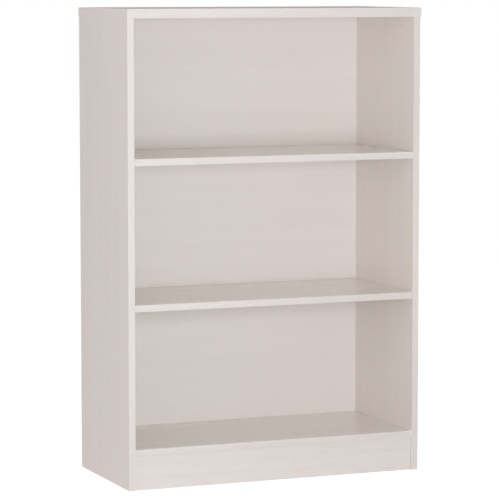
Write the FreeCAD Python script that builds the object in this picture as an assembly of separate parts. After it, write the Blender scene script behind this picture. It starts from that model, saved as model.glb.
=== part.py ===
import FreeCAD, Part
import math
import os

# Open two-shelf bookcase of melamine-faced chipboard, flat-packed and held by cam fasteners.
# Millimetres. X runs across the front, -Y is the front, +Z is up.
# The origin is on the floor, under the middle of the top panel.

# Overall size, over the top panel
overall_width = 741.0
overall_depth = 346.0
overall_height = 1112.0

# Boards
board_thickness = 16.0
top_thickness = 22.0
back_thickness = 3.0
top_overhang_side = 1.0
top_overhang_front = 3.0
top_overhang_rear = 1.0
plinth_height = 79.0
base_setback = 5.0
shelf_setback = 3.0
shelf_end_clearance = 0.5
shelf_rear_clearance = 1.5
shelf_names = ("lower_shelf", "upper_shelf")

# Groove round the back panel, cut in the sides, the top and the bottom
back_inset = 11.5
groove_depth = 7.0
groove_clearance = 0.1
back_edge_clearance = 0.8

# Edge bands
band_thickness = 1.0
band_edge_radius = 0.6
band_radius_limit = 0.8

# Cam fasteners: a bolt in one board's face, a cam in the next board's end
fitting_inset = 50.0
cam_setback = 24.0
cam_radius = 7.5
cam_below_axis = 4.5
cam_running_clearance = 0.3
cam_drive_length = 9.0
cam_drive_width = 1.8
cam_drive_depth = 2.4
bolt_radius = 2.5
bolt_thread_length = 11.0
bolt_head_radius = 3.4
bolt_head_length = 4.0
bolt_channel_radius = 4.0
cap_radius = 8.75
cap_thickness = 0.8

# Dowels
dowel_radius = 4.0
dowel_length = 30.0
dowel_in_face = 10.0
plinth_dowel_spacing = 400.0

# Shelf pins: a peg in the side, a spoon and its rib under the shelf
pin_inset = 37.0
pin_radius = 2.5
pin_peg_length = 9.0
pin_spoon_length = 13.0
pin_spoon_width = 9.0
pin_spoon_thickness = 2.0
pin_spoon_corner = 2.5
pin_rib_length = 9.0
pin_rib_width = 2.0

# Room round fasteners
bore_clearance = 0.05
bore_end_clearance = 0.6

# Places that follow from the sizes above
top_front = -overall_depth / 2
top_rear = overall_depth / 2
side_front = top_front + top_overhang_front
side_rear = top_rear - top_overhang_rear
side_outer = overall_width / 2 - top_overhang_side
side_inner = side_outer - board_thickness
side_height = overall_height - top_thickness
back_rear = side_rear - back_inset
back_front = back_rear - back_thickness
base_front = side_front + base_setback
base_top = plinth_height + board_thickness
shelf_front = side_front + shelf_setback
shelf_rear = back_front - shelf_rear_clearance
shelf_half_width = side_inner - shelf_end_clearance
shelf_count = len(shelf_names)
clear_height = (side_height - base_top - shelf_count * board_thickness) / (shelf_count + 1)
shelf_pitch = clear_height + board_thickness
shelf_undersides = [base_top + clear_height + level * shelf_pitch for level in range(shelf_count)]
band_radius = min(band_edge_radius, band_radius_limit * band_thickness)
board_middle = board_thickness / 2
bottom_middle = plinth_height + board_middle
plinth_middle = base_front + board_middle
front_fittings = side_front + fitting_inset
rear_fittings = back_front - fitting_inset
pin_rows = (side_front + pin_inset, back_front - pin_inset)

LEFT = -1
RIGHT = 1
X = FreeCAD.Vector(1, 0, 0)
Y = FreeCAD.Vector(0, 1, 0)
Z = FreeCAD.Vector(0, 0, 1)


class Joint:
    """Where a fastener crosses from one board's face into the next board's end.

    point is on the joint, into points into the end board, and face is the way a cam's drive looks.
    """

    def __init__(self, x, y, z, into, face=Z):
        self.point = FreeCAD.Vector(x, y, z)
        self.into = into
        self.face = face

    def cam_centre(self):
        return self.point + self.into * cam_setback

    def cam_opening(self):
        return self.cam_centre() + self.face * board_middle


def top_cams(hand):
    x = hand * (side_inner + board_middle)
    return [Joint(x, y, side_height, -Z, X * -hand) for y in (front_fittings, rear_fittings)]


def bottom_cams(hand):
    return [Joint(hand * side_inner, front_fittings, bottom_middle, X * -hand, -Z)]


def bottom_pegs(hand):
    return [Joint(hand * side_inner, rear_fittings, bottom_middle, X * -hand)]


def plinth_end_pegs(hand):
    return [Joint(hand * side_inner, plinth_middle, plinth_height / 2, X * -hand)]


def plinth_top_pegs(hand):
    return [Joint(hand * plinth_dowel_spacing / 2, plinth_middle, plinth_height, -Z)]


def pin_places(underside, hand):
    return [FreeCAD.Vector(hand * side_inner, y, underside) for y in pin_rows]


def both(places):
    """The places on the left, then those on the right."""
    return places(LEFT) + places(RIGHT)


def block(x_range, y_range, z_range):
    """A box between the low and high value of each range."""
    low = FreeCAD.Vector(x_range[0], y_range[0], z_range[0])
    high = FreeCAD.Vector(x_range[1], y_range[1], z_range[1])
    size = high - low
    return Part.makeBox(size.x, size.y, size.z, low)


def rod(radius, length, start, direction):
    """A cylinder from start along direction."""
    return Part.makeCylinder(radius, length, start, direction)


def prism(outline, thickness):
    """An outline of points pushed along a thickness vector."""
    return Part.Face(Part.makePolygon(outline + outline[:1])).extrude(thickness)


def lies_at(edge, axis, value):
    """True if a whole edge lies at one value of an axis."""
    return all(abs(vertex.Point.dot(axis) - value) < bore_clearance for vertex in edge.Vertexes)


def round_front(band, axis, value, longer_than):
    """A band with its long outer edges rounded."""
    edges = [edge for edge in band.Edges if lies_at(edge, axis, value) and edge.Length > longer_than]
    return band.makeFillet(band_radius, edges)


def cam_bores(cams):
    """The end board's bores for a cam and for the bolt that reaches it."""
    cuts = []
    for cam in cams:
        cuts.append(rod(cam_radius, board_middle + cam_below_axis, cam.cam_opening(), -cam.face))
        cuts.append(rod(bolt_channel_radius, cam_setback, cam.point, cam.into))
    return cuts


def bolt_bores(cams):
    """The face board's pilot holes for the bolts."""
    length = bolt_thread_length + bore_end_clearance
    return [rod(bolt_radius + bore_clearance, length, cam.point, -cam.into) for cam in cams]


def long_peg_bores(pegs):
    """The end board's dowel holes."""
    length = dowel_length - dowel_in_face + bore_end_clearance
    return [rod(dowel_radius + bore_clearance, length, peg.point, peg.into) for peg in pegs]


def short_peg_bores(pegs):
    """The face board's dowel holes."""
    length = dowel_in_face + bore_end_clearance
    return [rod(dowel_radius + bore_clearance, length, peg.point, -peg.into) for peg in pegs]


def pin_bores(hand):
    """One side's holes for the shelf pins."""
    length = pin_peg_length + bore_end_clearance
    bores = []
    for underside in shelf_undersides:
        for place in pin_places(underside - pin_radius, hand):
            bores.append(rod(pin_radius + bore_clearance, length, place, X * hand))
    return bores


def back_groove(x_range, z_range):
    return block(x_range, (back_front - groove_clearance, back_rear + groove_clearance), z_range)


def side_panel(hand):
    """A side, from the floor to the underside of the top."""
    sides = sorted((hand * side_inner, hand * side_outer))
    groove = sorted((hand * side_inner, hand * (side_inner + groove_depth)))
    panel = block(sides, (side_front + band_thickness, side_rear), (0, side_height))
    cuts = [back_groove(groove, (0, side_height))]
    cuts += cam_bores(top_cams(hand))
    cuts += bolt_bores(bottom_cams(hand))
    cuts += short_peg_bores(bottom_pegs(hand) + plinth_end_pegs(hand))
    cuts += pin_bores(hand)
    return panel.cut(cuts)


def side_edge_band(hand):
    sides = sorted((hand * side_inner, hand * side_outer))
    band = block(sides, (side_front, side_front + band_thickness), (0, side_height))
    return round_front(band, Y, side_front, board_thickness)


def top_panel():
    """The top, laid over both sides. Its groove stops in line with the sides' grooves."""
    half_width = overall_width / 2 - band_thickness
    depth_range = (top_front + band_thickness, top_rear)
    groove_end = side_inner + groove_depth
    panel = block((-half_width, half_width), depth_range, (side_height, overall_height))
    groove = back_groove((-groove_end, groove_end), (side_height, side_height + groove_depth))
    return panel.cut([groove] + bolt_bores(both(top_cams)))


def top_front_edge_band():
    span = (-overall_width / 2, overall_width / 2)
    band = block(span, (top_front, top_front + band_thickness), (side_height, overall_height))
    return round_front(band, Y, top_front, top_thickness)


def top_end_edge_band(hand):
    outer = hand * overall_width / 2
    ends = sorted((outer, outer - hand * band_thickness))
    band = block(ends, (top_front + band_thickness, top_rear), (side_height, overall_height))
    return round_front(band, X, outer, top_thickness)


def bottom_panel():
    """The bottom, between the sides and on the plinth board, grooved on top for the back."""
    span = (-side_inner, side_inner)
    panel = block(span, (base_front + band_thickness, side_rear), (plinth_height, base_top))
    cuts = [back_groove(span, (base_top - groove_depth, base_top))]
    cuts += cam_bores(both(bottom_cams))
    cuts += long_peg_bores(both(bottom_pegs))
    cuts += short_peg_bores(both(plinth_top_pegs))
    return panel.cut(cuts)


def plinth_board():
    """The plinth, flush with the bottom's front edge and pegged to it and to both sides."""
    span = (-side_inner, side_inner)
    board = block(span, (base_front, base_front + board_thickness), (0, plinth_height))
    return board.cut(long_peg_bores(both(plinth_end_pegs) + both(plinth_top_pegs)))


def back_panel():
    """The back, in the grooves of the sides, the top and the bottom."""
    reach = groove_depth - back_edge_clearance
    half_width = side_inner + reach
    return block((-half_width, half_width), (back_front, back_rear), (base_top - reach, side_height + reach))


def shelf(underside):
    """A loose shelf, clear of both sides and of the back."""
    span = (-shelf_half_width, shelf_half_width)
    return block(span, (shelf_front + band_thickness, shelf_rear), (underside, underside + board_thickness))


def front_edge_band(half_width, front, underside):
    """The band on the front edge of a board that lies between the sides."""
    span = (-half_width, half_width)
    band = block(span, (front, front + band_thickness), (underside, underside + board_thickness))
    return round_front(band, Y, front, board_thickness)


def placed(shape, point, x_axis, z_axis):
    """A copy of a shape built at the origin, with its own X and Z turned to the given axes."""
    copy = shape.copy()
    rotation = FreeCAD.Rotation(x_axis, z_axis.cross(x_axis), z_axis, "ZXY")
    copy.Placement = FreeCAD.Placement(point, rotation)
    return copy


def cam_lock():
    """A cam in its locked place, with the bolt's axis along its own X and its drive up.

    The bolt's head goes in at the mouth. The slot lets the bolt's shank stay put as the cam turns
    half round, and the wall above and below the slot then holds the head from behind.
    """
    body = rod(cam_radius - bore_clearance, board_middle + cam_below_axis, Z * -cam_below_axis, Z)
    past_head = bolt_head_length / 2 + cam_running_clearance
    head_room = bolt_head_radius + cam_running_clearance
    mouth = block((-past_head, cam_radius), (-head_room, head_room), (-head_room, head_room))
    shank_room = bolt_radius + cam_running_clearance
    past_shank = math.degrees(math.atan2(shank_room, bolt_head_length / 2))
    slot = Part.makeCylinder(cam_radius, 2 * shank_room, Z * -shank_room, Z, 180 + past_shank)
    drive_floor = board_middle - cam_drive_depth
    drive_reach = (-cam_drive_length / 2, cam_drive_length / 2)
    drive_width = (-cam_drive_width / 2, cam_drive_width / 2)
    drive = block(drive_reach, drive_width, (drive_floor, board_middle))
    cross_drive = block(drive_width, drive_reach, (drive_floor, board_middle))
    return body.cut([mouth, slot, drive, cross_drive])


def cam_bolt():
    """A connecting bolt along Z, threaded below the origin, with its head where the cam's centre is."""
    head_floor = cam_setback - bolt_head_length / 2
    shank = rod(bolt_radius, bolt_thread_length + head_floor, Z * -bolt_thread_length, Z)
    head = rod(bolt_head_radius, bolt_head_length, Z * head_floor, Z)
    return shank.fuse(head).removeSplitter()


def shelf_pin():
    """A shelf pin along X, its peg behind the origin and its spoon in front, with the top at the origin."""
    peg = rod(pin_radius, pin_peg_length, FreeCAD.Vector(-pin_peg_length, 0, -pin_radius), X)
    side = pin_spoon_width / 2
    floor = -pin_spoon_thickness
    shoulder = pin_spoon_length - pin_spoon_corner
    spoon = prism(
        [
            FreeCAD.Vector(0, -side, floor),
            FreeCAD.Vector(shoulder, -side, floor),
            FreeCAD.Vector(pin_spoon_length, pin_spoon_corner - side, floor),
            FreeCAD.Vector(pin_spoon_length, side - pin_spoon_corner, floor),
            FreeCAD.Vector(shoulder, side, floor),
            FreeCAD.Vector(0, side, floor),
        ],
        Z * pin_spoon_thickness,
    )
    rib = prism(
        [
            FreeCAD.Vector(0, -pin_rib_width / 2, floor),
            FreeCAD.Vector(0, -pin_rib_width / 2, -2 * pin_radius),
            FreeCAD.Vector(pin_rib_length, -pin_rib_width / 2, floor),
        ],
        Y * pin_rib_width,
    )
    return peg.fuse([spoon, rib]).removeSplitter()


def cam_locks(cams):
    lock = cam_lock()
    return [placed(lock, cam.cam_centre(), cam.into, cam.face) for cam in cams]


def cam_bolts(cams):
    bolt = cam_bolt()
    return [placed(bolt, cam.point, cam.face, cam.into) for cam in cams]


def cam_caps(cams):
    """Cover caps, flat on the board over each cam."""
    return [rod(cap_radius, cap_thickness, cam.cam_opening(), cam.face) for cam in cams]


def dowels(pegs):
    return [rod(dowel_radius, dowel_length, peg.point - peg.into * dowel_in_face, peg.into) for peg in pegs]


def shelf_pins(underside):
    pin = shelf_pin()
    pins = []
    for hand in (LEFT, RIGHT):
        pins += [placed(pin, place, X * -hand, Z) for place in pin_places(underside, hand)]
    return pins


def write(node, *solids):
    """One STEP file per node."""
    Part.makeCompound(solids).exportStep("parts/" + node + ".step")


os.makedirs("parts", exist_ok=True)

write("left_side_panel", side_panel(LEFT))
write("right_side_panel", side_panel(RIGHT))
write("left_side_edge_band", side_edge_band(LEFT))
write("right_side_edge_band", side_edge_band(RIGHT))

write("top_panel", top_panel())
write("top_front_edge_band", top_front_edge_band())
write("top_left_edge_band", top_end_edge_band(LEFT))
write("top_right_edge_band", top_end_edge_band(RIGHT))
write("top_cam_bolts", *cam_bolts(both(top_cams)))
write("top_cam_locks", *cam_locks(both(top_cams)))
write("top_cam_caps", *cam_caps(both(top_cams)))

write("bottom_panel", bottom_panel())
write("bottom_edge_band", front_edge_band(side_inner, base_front, plinth_height))
write("bottom_cam_bolts", *cam_bolts(both(bottom_cams)))
write("bottom_cam_locks", *cam_locks(both(bottom_cams)))
write("bottom_dowels", *dowels(both(bottom_pegs)))

write("plinth_board", plinth_board())
write("plinth_end_dowels", *dowels(both(plinth_end_pegs)))
write("plinth_top_dowels", *dowels(both(plinth_top_pegs)))

write("back_panel", back_panel())

for name, shelf_underside in zip(shelf_names, shelf_undersides):
    write(name, shelf(shelf_underside))
    write(name + "_edge_band", front_edge_band(shelf_half_width, shelf_front, shelf_underside))
    write(name + "_pins", *shelf_pins(shelf_underside))
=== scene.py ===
import math

import bpy
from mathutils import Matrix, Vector


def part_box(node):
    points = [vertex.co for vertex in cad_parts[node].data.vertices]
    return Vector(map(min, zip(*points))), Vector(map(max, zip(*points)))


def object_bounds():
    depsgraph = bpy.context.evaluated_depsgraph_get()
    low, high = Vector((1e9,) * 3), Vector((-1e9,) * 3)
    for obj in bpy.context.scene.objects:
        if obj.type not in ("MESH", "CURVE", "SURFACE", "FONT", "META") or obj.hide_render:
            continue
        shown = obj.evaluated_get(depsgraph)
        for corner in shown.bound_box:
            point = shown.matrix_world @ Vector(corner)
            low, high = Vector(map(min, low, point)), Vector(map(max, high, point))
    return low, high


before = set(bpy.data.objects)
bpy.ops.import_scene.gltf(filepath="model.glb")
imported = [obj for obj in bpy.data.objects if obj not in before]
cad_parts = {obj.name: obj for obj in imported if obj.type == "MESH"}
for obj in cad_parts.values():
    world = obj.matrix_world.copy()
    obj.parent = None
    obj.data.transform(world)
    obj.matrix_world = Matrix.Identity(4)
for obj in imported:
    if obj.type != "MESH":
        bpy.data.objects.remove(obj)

cad_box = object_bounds()

# An open two-shelf bookcase of pearl-white melamine board. Metres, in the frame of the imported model:
# X runs across the front, -Y is the front, +Z is up.

low_corner, high_corner = cad_box
centre = (low_corner + high_corner) / 2

X = Vector((1, 0, 0))
Y = Vector((0, 1, 0))
Z = Vector((0, 0, 1))

# Camera: a long lens at about the height of the top, in front and to the left
camera_place = Vector((-2.400, -5.850, 1.178))
camera_turn = math.radians(22.32)
camera_dip = math.radians(5.84)
camera_lens = 190.36
camera_sensor = 36.0

# Light: even light from all round and five soft boxes, placed by their turn round the object from its
# front and their rise above its middle
ambient_colour = (1.0, 0.965, 0.89)
ambient_strength = 0.37
lamp_distance = 4.0
key_turn = math.radians(-15.0)
key_rise = math.radians(3.5)
key_size = 1.0
key_power = 60.5
key_colour = (0.935, 0.93, 1.0)
side_turn = math.radians(-80.0)
side_rise = math.radians(0.0)
side_size = 2.0
side_power = 22.5
side_colour = (1.0, 0.79, 0.82)
near_turn = math.radians(-45.0)
near_rise = math.radians(26.4)
near_distance = 1.67
near_size = 1.0
near_power = 2.3
near_colour = (0.93, 0.93, 1.0)
above_turn = math.radians(0.0)
above_rise = math.radians(90.0)
above_distance = 2.05
above_size = 1.0
above_power = 3.2
above_colour = (0.84, 0.85, 1.0)
rear_turn = math.radians(146.0)
rear_rise = math.radians(0.0)
rear_size = 1.0
rear_power = 66.0
rear_colour = (0.96, 0.96, 1.0)

# Floor and background: the glow lifts the floor to white for the camera and for reflections only
floor_reach = 12.0
floor_drop = 0.0005
floor_albedo = (0.80, 0.80, 0.80, 1.0)
floor_glow = 0.74
background_white = (1.0, 1.0, 1.0, 1.0)


def srgb(red, green, blue):
    """A colour as it looks on a screen, 0 to 255, as the linear colour that shaders take."""
    def linear(value):
        share = value / 255
        return share / 12.92 if share <= 0.04045 else ((share + 0.055) / 1.055) ** 2.4
    return (linear(red), linear(green), linear(blue), 1.0)


class Nodes:
    """The nodes of a material or a world. Each method adds a node or a few, and gives the output."""

    def __init__(self, owner):
        self.owner = owner
        owner.use_nodes = True
        self.tree = owner.node_tree
        self.tree.nodes.clear()

    def add(self, kind, inputs=None, **settings):
        """A node, with its settings and with what goes into its sockets: values or other outputs."""
        node = self.tree.nodes.new(kind)
        for name, value in settings.items():
            setattr(node, name, value)
        for socket, value in (inputs or {}).items():
            if isinstance(value, bpy.types.NodeSocket):
                self.tree.links.new(value, node.inputs[socket])
            else:
                node.inputs[socket].default_value = value
        return node

    def place(self):
        """The point on the surface, in metres, which moves with the piece."""
        return self.add("ShaderNodeTexCoord").outputs["Object"]

    def towards(self, axis):
        """How squarely the surface faces along an axis: 1 along it, -1 against it."""
        normal = self.add("ShaderNodeTexCoord").outputs["Normal"]
        product = self.add("ShaderNodeVectorMath", {0: normal, 1: axis}, operation="DOT_PRODUCT")
        return product.outputs["Value"]

    def math(self, operation, first, second=0.0):
        return self.add("ShaderNodeMath", {0: first, 1: second}, operation=operation).outputs[0]

    def stretch(self, vector, scale):
        node = self.add("ShaderNodeVectorMath", {0: vector, 1: scale}, operation="MULTIPLY")
        return node.outputs["Vector"]

    def bend(self, vector, value, reach):
        """The vector moved by the value times the reach, along X, Y and Z alike."""
        offset = self.stretch(value, Vector((reach, reach, reach)))
        return self.add("ShaderNodeVectorMath", {0: vector, 1: offset}, operation="ADD").outputs["Vector"]

    def noise(self, vector, detail=2.0, roughness=0.5, scale=1.0):
        inputs = {"Vector": vector, "Scale": scale, "Detail": detail, "Roughness": roughness}
        return self.add("ShaderNodeTexNoise", inputs).outputs["Fac"]

    def cells(self, vector):
        """A random grey for each cell of a scattered pattern."""
        inputs = {"Vector": vector, "Scale": 1.0, "Randomness": 1.0}
        colour = self.add("ShaderNodeTexVoronoi", inputs).outputs["Color"]
        return self.add("ShaderNodeSeparateColor", {"Color": colour}).outputs[0]

    def spread(self, value, low, high, to_low=0.0, to_high=1.0):
        """A value from low to high, spread over another range and held there."""
        inputs = {"Value": value, "From Min": low, "From Max": high, "To Min": to_low, "To Max": to_high}
        return self.add("ShaderNodeMapRange", inputs).outputs["Result"]

    def weigh(self, first, second, share):
        """The first value times its share, and the second times the rest."""
        return self.math("ADD", self.math("MULTIPLY", first, share), self.math("MULTIPLY", second, 1 - share))

    def mix(self, share, first, second):
        """One colour at share 0, the other at share 1. Sockets 6 and 7 and output 2 are the colour ones."""
        return self.add("ShaderNodeMix", {0: share, 6: first, 7: second}, data_type="RGBA").outputs[2]

    def bump(self, height, depth, strength):
        """A normal for a height of 0 to 1 that stands for a depth in metres."""
        inputs = {"Height": height, "Distance": depth, "Strength": strength}
        return self.add("ShaderNodeBump", inputs).outputs["Normal"]

    def seen_or_mirrored(self):
        """1 for rays from the camera and rays that mirror or pass through something, 0 for light."""
        path = self.add("ShaderNodeLightPath")
        share = path.outputs["Is Camera Ray"]
        for name in ("Is Glossy Ray", "Is Transmission Ray"):
            share = self.math("MAXIMUM", share, path.outputs[name])
        return share

    def finish(self, colour, roughness, normal, **constants):
        """Closes a material with one shader. Constants go on the shader's own sockets."""
        inputs = {"Base Color": colour, "Roughness": roughness, "Normal": normal}
        shader = self.add("ShaderNodeBsdfPrincipled", inputs)
        for name, value in constants.items():
            shader.inputs[name.replace("_", " ")].default_value = value
        self.add("ShaderNodeOutputMaterial", {"Surface": shader.outputs["BSDF"]})
        return self.owner


def new_material(name):
    """A new material's empty nodes."""
    return Nodes(bpy.data.materials.new(name))


# In the patterns below, a grid is the cells per metre across an axis and along it, a band is the stretch
# of a pattern's values that is spread out, and a depth is the real height of the relief. A surface that
# faces along an axis by more than the value squarely belongs to the board's face.
noise_band = (0.3, 0.7)
squarely = 0.7

# Melamine: gloss is the shader's specular level, and grain is how much the pattern stands out. The shelves
# gleam at the low angle from which they are seen, and the top looks dull.
laminate_light = srgb(243, 238, 233)
laminate_dark = srgb(237, 232, 226)
laminate_pore = srgb(222, 215, 207)
laminate_gloss = 0.45
top_gloss = 0.0
shelf_gloss = 1.0
board_rough = 0.38
shelf_rough = 0.18
rough_variation = 0.035
back_grain = 0.45
board_grain = 0.55
band_grain = 1.0
clear_grain = 1.1
sway_grid = (9.0, 1.1)
sway_reach = 0.012
figure_grid = (38.0, 1.3)
figure_share = 0.6
streak_grid = (300.0, 5.0)
tick_grid = (900.0, 28.0)
patch_grid = (16.0, 3.0)
tone_middle = 0.5
tone_reach = 0.15
tick_band = (0.58, 0.72)
patch_band = (0.42, 0.62)
pore_strength = 0.5
streak_height = 0.5
pore_height = 0.5


def along(axis, grid):
    """A scale for a pattern that is drawn out along one axis, or pressed flat along it."""
    across, lengthwise = grid
    return Vector([lengthwise if part else across for part in axis])


def laminate(nodes, grain, contrast, rough=board_rough):
    """Pearl-white melamine: a faint, slightly wavy grain with fine pores. Gives colour, height, roughness."""
    place = nodes.place()
    sway = nodes.noise(nodes.stretch(place, along(grain, sway_grid)), detail=1.0)
    swayed = nodes.bend(place, sway, sway_reach)
    figure = nodes.noise(nodes.stretch(swayed, along(grain, figure_grid)), detail=2.0)
    streak = nodes.noise(nodes.stretch(swayed, along(grain, streak_grid)), detail=3.0, roughness=0.6)
    tick = nodes.noise(nodes.stretch(swayed, along(grain, tick_grid)), detail=1.0)
    patch = nodes.noise(nodes.stretch(swayed, along(grain, patch_grid)), detail=1.0)
    tone = nodes.weigh(figure, streak, figure_share)
    reach = tone_reach / contrast
    light = nodes.spread(tone, tone_middle - reach, tone_middle + reach)
    colour = nodes.mix(light, laminate_dark, laminate_light)
    pore = nodes.math("MULTIPLY", nodes.spread(tick, *tick_band), nodes.spread(patch, *patch_band))
    colour = nodes.mix(nodes.math("MULTIPLY", pore, pore_strength * contrast), colour, laminate_pore)
    raised = nodes.math("MULTIPLY", streak, streak_height)
    height = nodes.math("SUBTRACT", raised, nodes.math("MULTIPLY", pore, pore_height))
    vary = rough_variation * contrast
    roughness = nodes.spread(streak, *noise_band, rough - vary, rough + vary)
    return colour, height, roughness


# Chipboard, whose chips lie flat: their grids are across and along the board's thickness
chip_light = srgb(222, 196, 158)
chip_dark = srgb(184, 152, 112)
chip_bark = srgb(132, 98, 66)
chip_rough = 0.85
chip_bend_scale = 180.0
chip_bend = 0.002
coarse_chip_grid = (240.0, 700.0)
fine_chip_grid = (900.0, 1900.0)
coarse_chip_share = 0.5
chip_band = (0.2, 0.8)
bark_grid = (520.0, 1500.0)
bark_band = (0.86, 0.90)
bark_strength = 0.6


def chipboard(nodes, through):
    """The raw edge of a board: pressed chips that lie flat in it. Gives colour, height, roughness."""
    place = nodes.place()
    bent = nodes.bend(place, nodes.noise(place, scale=chip_bend_scale), chip_bend)
    coarse = nodes.cells(nodes.stretch(bent, along(through, coarse_chip_grid)))
    fine = nodes.cells(nodes.stretch(bent, along(through, fine_chip_grid)))
    chips = nodes.weigh(coarse, fine, coarse_chip_share)
    colour = nodes.mix(nodes.spread(chips, *chip_band), chip_dark, chip_light)
    bark = nodes.spread(nodes.cells(nodes.stretch(bent, along(through, bark_grid))), *bark_band)
    colour = nodes.mix(nodes.math("MULTIPLY", bark, bark_strength), colour, chip_bark)
    return colour, chips, chip_rough


# Fibreboard
fibre_light = srgb(186, 152, 115)
fibre_dark = srgb(158, 123, 88)
fibre_fleck = srgb(112, 80, 54)
fibre_rough = 0.62
fibre_cloud_scale = 7.0
fibre_cloud_share = 0.1
felt_scale = 260.0
fibre_band = (0.35, 0.65)
fleck_scale = 700.0
fleck_band = (0.66, 0.74)
fleck_strength = 0.5


def fibreboard(nodes):
    """Bare brown fibres, felted and flecked. Gives colour, height, roughness."""
    place = nodes.place()
    cloud = nodes.noise(place, detail=2.0, scale=fibre_cloud_scale)
    felt = nodes.noise(place, detail=4.0, roughness=0.7, scale=felt_scale)
    tone = nodes.weigh(cloud, felt, fibre_cloud_share)
    colour = nodes.mix(nodes.spread(tone, *fibre_band), fibre_dark, fibre_light)
    fleck = nodes.spread(nodes.noise(place, detail=1.0, scale=fleck_scale), *fleck_band)
    colour = nodes.mix(nodes.math("MULTIPLY", fleck, fleck_strength), colour, fibre_fleck)
    return colour, felt, fibre_rough


# Whole boards. The face relief is the laminate's relief as a share of the bare board's
board_face_relief = 0.12
board_depth = 0.00025
board_bump = 0.6
band_depth = 0.00003
band_bump = 0.5
back_face_relief = 0.2
back_depth = 0.00012
back_bump = 0.5
joint_shadow = srgb(112, 104, 98)
joint_width = 0.0007


def faced(nodes, on_face, face, bare, face_relief):
    """One finish where on_face is 1 and another where it is 0. Gives colour, height, roughness."""
    face_colour, face_height, face_roughness = face
    bare_colour, bare_height, bare_roughness = bare
    colour = nodes.mix(on_face, bare_colour, face_colour)
    raised = nodes.math("MULTIPLY", face_height, nodes.math("MULTIPLY", on_face, face_relief))
    raw = nodes.math("MULTIPLY", bare_height, nodes.math("SUBTRACT", 1.0, on_face))
    roughness = nodes.spread(on_face, 0.0, 1.0, bare_roughness, face_roughness)
    return colour, nodes.math("ADD", raised, raw), roughness


def joint_line(nodes, colour, end):
    """A fine line of shadow in the joints at x = end and x = -end."""
    x = nodes.add("ShaderNodeSeparateXYZ", {"Vector": nodes.place()}).outputs["X"]
    shade = nodes.spread(nodes.math("ABSOLUTE", x), end - joint_width, end - joint_width / 2)
    return nodes.mix(shade, colour, joint_shadow)


def board(
    name, grain, through, contrast=board_grain, gloss=laminate_gloss, rough=board_rough, joint_end=None
):
    """A melamine-faced board: laminate on its two faces, raw chipboard on the edges that nothing covers."""
    nodes = new_material(name)
    on_face = nodes.math("GREATER_THAN", nodes.math("ABSOLUTE", nodes.towards(through)), squarely)
    face = laminate(nodes, grain, contrast, rough)
    colour, height, roughness = faced(nodes, on_face, face, chipboard(nodes, through), board_face_relief)
    if joint_end:
        colour = joint_line(nodes, colour, joint_end)
    normal = nodes.bump(height, board_depth, board_bump)
    return nodes.finish(colour, roughness, normal, Specular_IOR_Level=gloss)


def edge_band(name, grain):
    """A glued plastic edge band in the board's own decor, a little smoother than the board."""
    nodes = new_material(name)
    colour, height, roughness = laminate(nodes, grain, band_grain)
    normal = nodes.bump(height, band_depth, band_bump)
    return nodes.finish(colour, roughness, normal, Specular_IOR_Level=laminate_gloss)


def back_board(name):
    """Thin fibreboard: decor paper in front, bare brown fibres behind and on the edges."""
    nodes = new_material(name)
    on_face = nodes.math("GREATER_THAN", nodes.towards(-Y), squarely)
    face = laminate(nodes, X, back_grain)
    colour, height, roughness = faced(nodes, on_face, face, fibreboard(nodes), back_face_relief)
    normal = nodes.bump(height, back_depth, back_bump)
    return nodes.finish(colour, roughness, normal, Specular_IOR_Level=laminate_gloss)


# Fasteners
plated_light = srgb(214, 212, 206)
plated_dark = srgb(190, 187, 180)
plated_rough = (0.22, 0.36)
plated_grain = 0.0006
zinc_light = srgb(176, 177, 178)
zinc_dark = srgb(150, 151, 153)
zinc_rough = (0.45, 0.62)
zinc_grain = 0.0009
metal_cloud_scale = 90.0
metal_relief = 0.1
grit_bump = 0.4
plastic_gloss = 0.4
plastic_rough = (0.42, 0.52)
plastic_grit_scale = 2200.0
plastic_depth = 0.00003
beech_light = srgb(222, 190, 150)
beech_dark = srgb(196, 158, 118)
beech_fleck = srgb(150, 108, 72)
beech_gloss = 0.4
beech_rough = 0.6
beech_figure_grid = (300.0, 12.0)
beech_fleck_grid = (1800.0, 260.0)
beech_fleck_band = (0.6, 0.7)
beech_fleck_strength = 0.5
beech_depth = 0.00008
beech_bump = 0.5


def metal(name, light, dark, rough, grain_size):
    """Bare or plated metal with a fine grain and faint clouding."""
    nodes = new_material(name)
    place = nodes.place()
    cloud = nodes.noise(place, detail=2.0, scale=metal_cloud_scale)
    grit = nodes.noise(place, detail=3.0, roughness=0.65, scale=1.0 / grain_size)
    colour = nodes.mix(cloud, dark, light)
    roughness = nodes.spread(grit, *noise_band, *rough)
    normal = nodes.bump(grit, grain_size * metal_relief, grit_bump)
    return nodes.finish(colour, roughness, normal, Metallic=1.0)


def plastic(name, light, dark):
    """Moulded plastic with a fine spark-eroded texture."""
    nodes = new_material(name)
    grit = nodes.noise(nodes.place(), detail=2.0, roughness=0.6, scale=plastic_grit_scale)
    colour = nodes.mix(grit, dark, light)
    roughness = nodes.spread(grit, *noise_band, *plastic_rough)
    normal = nodes.bump(grit, plastic_depth, grit_bump)
    return nodes.finish(colour, roughness, normal, Specular_IOR_Level=plastic_gloss)


def bare_beech(name, grain):
    """Turned beech: straight grain with short darker flecks."""
    nodes = new_material(name)
    place = nodes.place()
    figure = nodes.noise(nodes.stretch(place, along(grain, beech_figure_grid)), detail=3.0)
    fleck = nodes.noise(nodes.stretch(place, along(grain, beech_fleck_grid)), detail=1.0)
    colour = nodes.mix(nodes.spread(figure, *noise_band), beech_dark, beech_light)
    flecked = nodes.spread(fleck, *beech_fleck_band, 0.0, beech_fleck_strength)
    colour = nodes.mix(flecked, colour, beech_fleck)
    normal = nodes.bump(figure, beech_depth, beech_bump)
    return nodes.finish(colour, beech_rough, normal, Specular_IOR_Level=beech_gloss)


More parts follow.
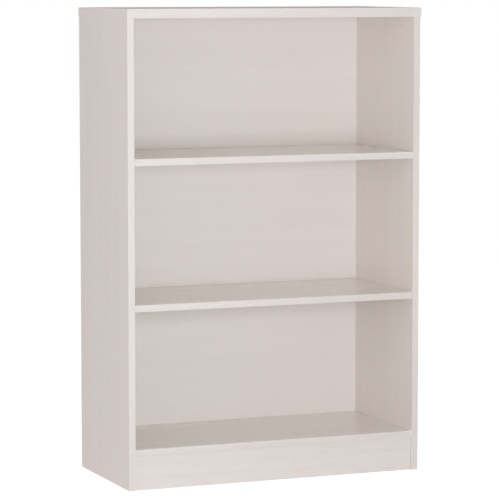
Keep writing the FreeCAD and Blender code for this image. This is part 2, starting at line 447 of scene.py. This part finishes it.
def give(material, *names):
    """Puts a finish on whole CAD nodes."""
    for name in names:
        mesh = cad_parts[name].data
        mesh.materials.clear()
        mesh.materials.append(material)


def dress_boards():
    give(board("side_board", Z, X), "left_side_panel", "right_side_panel")
    shelf_finish = board("flat_board", X, Z, contrast=clear_grain, gloss=shelf_gloss, rough=shelf_rough)
    give(shelf_finish, "bottom_panel", "upper_shelf", "lower_shelf")
    give(board("top_board", X, Z, gloss=top_gloss), "top_panel")
    plinth_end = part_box("plinth_board")[1][0]
    give(board("plinth_board_finish", X, Y, contrast=clear_grain, joint_end=plinth_end), "plinth_board")
    give(back_board("back_board_finish"), "back_panel")
    give(edge_band("upright_band", Z), "left_side_edge_band", "right_side_edge_band")
    give(
        edge_band("level_band", X),
        "top_front_edge_band",
        "bottom_edge_band",
        "upper_shelf_edge_band",
        "lower_shelf_edge_band",
    )
    give(edge_band("end_band", Y), "top_left_edge_band", "top_right_edge_band")


def dress_fasteners():
    plated = metal("plated_steel_finish", plated_light, plated_dark, plated_rough, plated_grain)
    zinc = metal("cast_zinc_finish", zinc_light, zinc_dark, zinc_rough, zinc_grain)
    give(plated, "top_cam_bolts", "bottom_cam_bolts", "upper_shelf_pins", "lower_shelf_pins")
    give(zinc, "top_cam_locks", "bottom_cam_locks")
    give(plastic("cap_plastic_finish", laminate_light, laminate_dark), "top_cam_caps")
    give(bare_beech("level_beech", X), "bottom_dowels", "plinth_end_dowels")
    give(bare_beech("upright_beech", Z), "plinth_top_dowels")


def make_camera():
    data = bpy.data.cameras.new("camera")
    data.lens = camera_lens
    data.sensor_width = camera_sensor
    camera = bpy.data.objects.new("camera", data)
    camera.location = camera_place
    camera.rotation_euler = (math.pi / 2 - camera_dip, 0.0, -camera_turn)
    bpy.context.scene.collection.objects.link(camera)
    bpy.context.scene.camera = camera


def make_soft_box(name, turn, rise, size, power, colour, distance=lamp_distance):
    """A square lamp that looks at the object's middle, and that the camera doesn't see."""
    data = bpy.data.lights.new(name, "AREA")
    data.shape = "SQUARE"
    data.size = size
    data.energy = power
    data.color = colour
    lamp = bpy.data.objects.new(name, data)
    outward = Vector((math.sin(turn) * math.cos(rise), -math.cos(turn) * math.cos(rise), math.sin(rise)))
    lamp.location = centre + outward * distance
    lamp.rotation_euler = outward.to_track_quat("Z", "Y").to_euler()
    lamp.visible_camera = False
    bpy.context.scene.collection.objects.link(lamp)
    return lamp


def keep_off(lamp, piece):
    """Keeps a lamp's light off one piece, and lets it light everything else."""
    rule = bpy.data.collections.new("unlit_by_" + lamp.name)
    rule.objects.link(piece)
    rule.collection_objects[0].light_linking.link_state = "EXCLUDE"
    lamp.light_linking.receiver_collection = rule


def make_world():
    """Soft light from all round, with plain white behind the object."""
    world = bpy.data.worlds.new("studio")
    bpy.context.scene.world = world
    nodes = Nodes(world)
    light = nodes.add("ShaderNodeBackground", {"Color": (*ambient_colour, 1.0), "Strength": ambient_strength})
    white = nodes.add("ShaderNodeBackground", {"Color": background_white, "Strength": 1.0})
    inputs = {"Fac": nodes.seen_or_mirrored(), 1: light.outputs[0], 2: white.outputs[0]}
    mix = nodes.add("ShaderNodeMixShader", inputs)
    nodes.add("ShaderNodeOutputWorld", {"Surface": mix.outputs[0]})


def make_floor():
    """A plain pale floor that keeps the object's shadow and runs out into the white behind."""
    mesh = bpy.data.meshes.new("floor")
    signs = [(-1, -1), (1, -1), (1, 1), (-1, 1)]
    corners = [(x * floor_reach, y * floor_reach, -floor_drop) for x, y in signs]
    mesh.from_pydata(corners, [], [(0, 1, 2, 3)])
    floor = bpy.data.objects.new("floor", mesh)
    bpy.context.scene.collection.objects.link(floor)
    nodes = new_material("floor_white")
    matt = nodes.add("ShaderNodeBsdfDiffuse", {"Color": floor_albedo})
    lift = nodes.math("MULTIPLY", nodes.seen_or_mirrored(), floor_glow)
    glow = nodes.add("ShaderNodeEmission", {"Strength": lift})
    both = nodes.add("ShaderNodeAddShader", {0: matt.outputs[0], 1: glow.outputs[0]})
    nodes.add("ShaderNodeOutputMaterial", {"Surface": both.outputs[0]})
    mesh.materials.append(nodes.owner)
    return floor


make_camera()
dress_boards()
dress_fasteners()
make_world()
make_soft_box("key", key_turn, key_rise, key_size, key_power, key_colour)
make_soft_box("side", side_turn, side_rise, side_size, side_power, side_colour)
make_soft_box("near", near_turn, near_rise, near_size, near_power, near_colour, near_distance)
make_soft_box("above", above_turn, above_rise, above_size, above_power, above_colour, above_distance)
rear = make_soft_box("rear", rear_turn, rear_rise, rear_size, rear_power, rear_colour)

# The rear lamp stands low behind the object, and its glare on the floor would eat into the object's edges
keep_off(rear, make_floor())
bpy.context.scene.view_settings.view_transform = "Standard"
